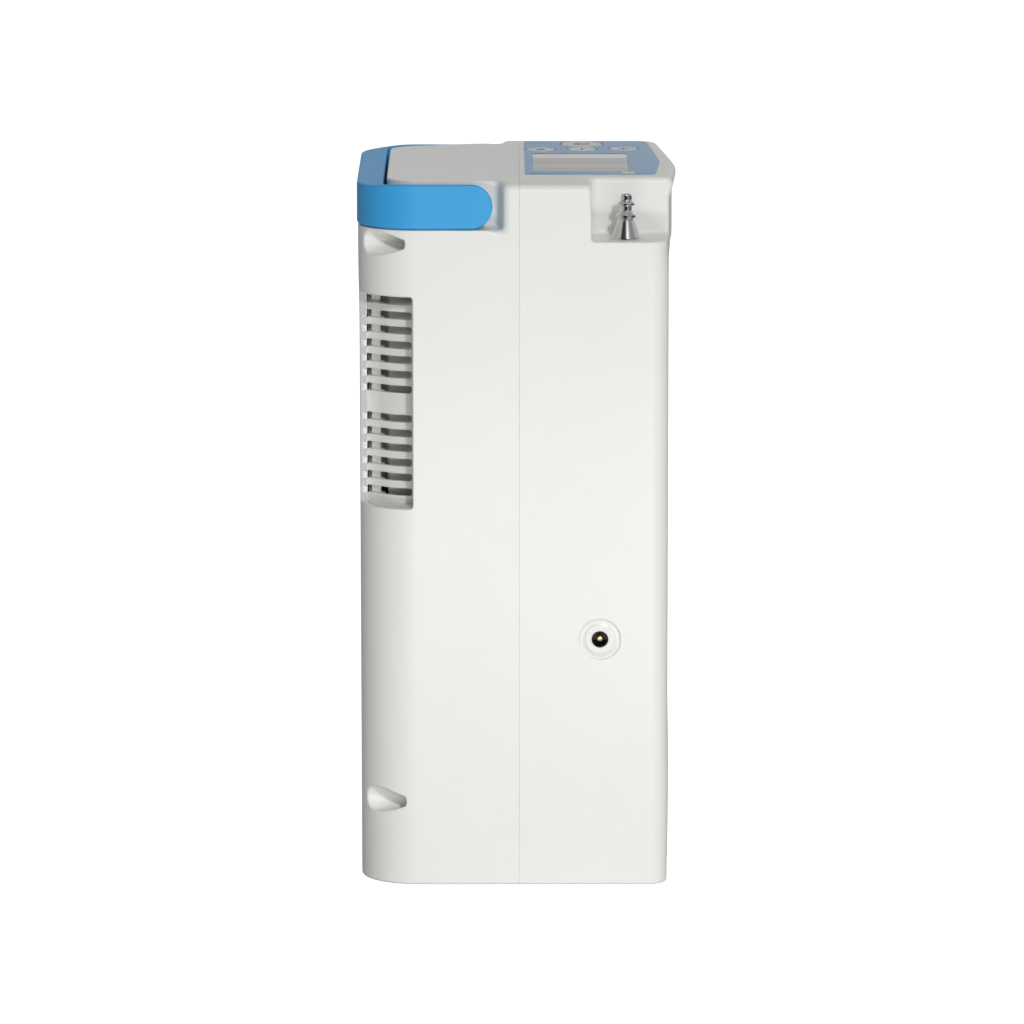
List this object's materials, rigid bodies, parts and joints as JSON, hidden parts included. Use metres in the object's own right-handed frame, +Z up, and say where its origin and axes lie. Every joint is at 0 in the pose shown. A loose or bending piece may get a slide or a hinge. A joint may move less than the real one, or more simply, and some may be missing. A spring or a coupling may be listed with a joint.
{
  "type": "portable oxygen concentrator",
  "caption": "Upright oxygen concentrator: two-shell casing with swinging carry handle, control deck with display and buttons, barbed outlet, power jack and louvred vents.",
  "frame": {"origin": "middle of the flat base, on the plane that it stands on", "axes": "+Z up; +X from the louvred back towards the control deck's front; +Y across the width, away from the side with the oxygen outlet and the power jack"},
  "size_m": [0.1113, 0.1262, 0.2463],
  "materials": {
    "white_casing": "fine satin ABS",
    "white_louvre": "satin ABS",
    "blue_handle": "smooth semi-gloss",
    "blue_overlay": "printed polyester film",
    "display_lens": "clear hard-coated window",
    "display_panel": "reflective liquid crystal panel",
    "pale_button": "satin",
    "dome_silicone": "moulded silicone",
    "green_board": "solder mask",
    "amber_lens": "translucent lens",
    "ribbon_film": "flat flexible film",
    "chrome_outlet": "polished plating",
    "zinc_steel": "zinc plated",
    "black_rubber": "moulded",
    "white_bezel": "smooth",
    "black_plastic": "satin",
    "gold_contact": "gold plated",
    "grey_frame": "glass-filled nylon",
    "cast_aluminium": "cast and machined",
    "piston_alloy": "machined",
    "dark_steel": "black oxide",
    "copper_winding": "enamelled wire",
    "filter_media": "pleated paper",
    "dark_hose": "silicone hose",
    "clear_hose": "clear silicone",
    "battery_case": "moulded",
    "cell_wrap": "shrink sleeve",
    "plain_label": "plain film",
    "wire_sleeve": "insulated wire"
  },
  "bodies": {
    "casing": {"front_shell": "white_casing", "rear_shell": "white_casing", "rear_grille": "white_louvre", "case_screws": "zinc_steel", "rubber_feet": "black_rubber", "handle_pivot_pins": "zinc_steel", "handle_pin_clips": "zinc_steel", "control_overlay": "blue_overlay", "lcd_window": "display_lens", "lcd_module": "display_panel", "button_domes": "dome_silicone", "keypad_board": "green_board", "status_light": "amber_lens", "display_ribbon_cable": "ribbon_film", "outlet_nozzle": "chrome_outlet", "outlet_nut": "zinc_steel", "outlet_o_ring": "black_rubber", "outlet_elbow": "chrome_outlet", "dc_jack_bezel": "white_bezel", "dc_jack_body": "black_plastic", "dc_jack_pin": "gold_contact", "dc_jack_spring": "gold_contact", "chassis_frame": "grey_frame", "compressor_mounts": "black_rubber", "compressor_crankcase": "cast_aluminium", "compressor_cylinders": "cast_aluminium", "cylinder_head": "cast_aluminium", "motor_housing": "dark_steel", "motor_stator": "copper_winding", "crankshaft_bearings": "zinc_steel", "sieve_bed_a": "cast_aluminium", "sieve_bed_b": "cast_aluminium", "sieve_bottom_manifold": "grey_frame", "sieve_top_manifold": "grey_frame", "solenoid_valves": "black_plastic", "product_tank": "cast_aluminium", "demand_valve": "black_plastic", "oxygen_sensor": "white_bezel", "intake_filter": "filter_media", "exhaust_silencer": "grey_frame", "air_hoses": "dark_hose", "oxygen_hoses": "clear_hose", "fan_frame": "black_plastic", "main_board": "green_board", "board_components": "black_plastic", "alarm_buzzer": "black_plastic", "battery_pack": "battery_case", "battery_cells": "cell_wrap", "battery_label": "plain_label", "wiring_harness": "wire_sleeve", "chassis_screws": "zinc_steel"},
    "handle": {"carry_handle": "blue_handle"},
    "power_button": {"power_button": "pale_button"},
    "flow_up_button": {"flow_up_button": "pale_button"},
    "flow_down_button": {"flow_down_button": "pale_button"},
    "mute_button": {"mute_button": "pale_button"},
    "fan_rotor": {"fan_rotor": "black_plastic"},
    "crankshaft": {"crankshaft_rotor": "zinc_steel"},
    "piston_a": {"piston_a": "piston_alloy"},
    "piston_b": {"piston_b": "piston_alloy"}
  },
  "joints": [
    {"name": "handle_swing", "type": "hinge", "parent": "casing", "child": "handle", "pos_m": [-0.015, 0, 0.2381], "axis": [0, 1, 0], "range_deg": [0, 92]},
    {"name": "power_button_press", "type": "slide", "parent": "casing", "child": "power_button", "axis": [0, 0, -1], "range_m": [0, 0.0006], "stiffness_N_per_m": 900},
    {"name": "flow_up_button_press", "type": "slide", "parent": "casing", "child": "flow_up_button", "axis": [0, 0, -1], "range_m": [0, 0.0006], "stiffness_N_per_m": 900},
    {"name": "flow_down_button_press", "type": "slide", "parent": "casing", "child": "flow_down_button", "axis": [0, 0, -1], "range_m": [0, 0.0006], "stiffness_N_per_m": 900},
    {"name": "mute_button_press", "type": "slide", "parent": "casing", "child": "mute_button", "axis": [0, 0, -1], "range_m": [0, 0.0006], "stiffness_N_per_m": 900},
    {"name": "fan_spin", "type": "hinge", "parent": "casing", "child": "fan_rotor", "pos_m": [-0.017, 0.0535, 0.063], "axis": [0, 1, 0], "continuous": true},
    {"name": "crankshaft_spin", "type": "hinge", "parent": "casing", "child": "crankshaft", "pos_m": [-0.02, 0, 0.038], "axis": [0, 1, 0], "continuous": true},
    {"name": "piston_a_stroke", "type": "slide", "parent": "casing", "child": "piston_a", "axis": [0, 0, 1], "range_m": [-0.0025, 0.0025]},
    {"name": "piston_b_stroke", "type": "slide", "parent": "casing", "child": "piston_b", "axis": [0, 0, 1], "range_m": [-0.0025, 0.0025]}
  ]
}
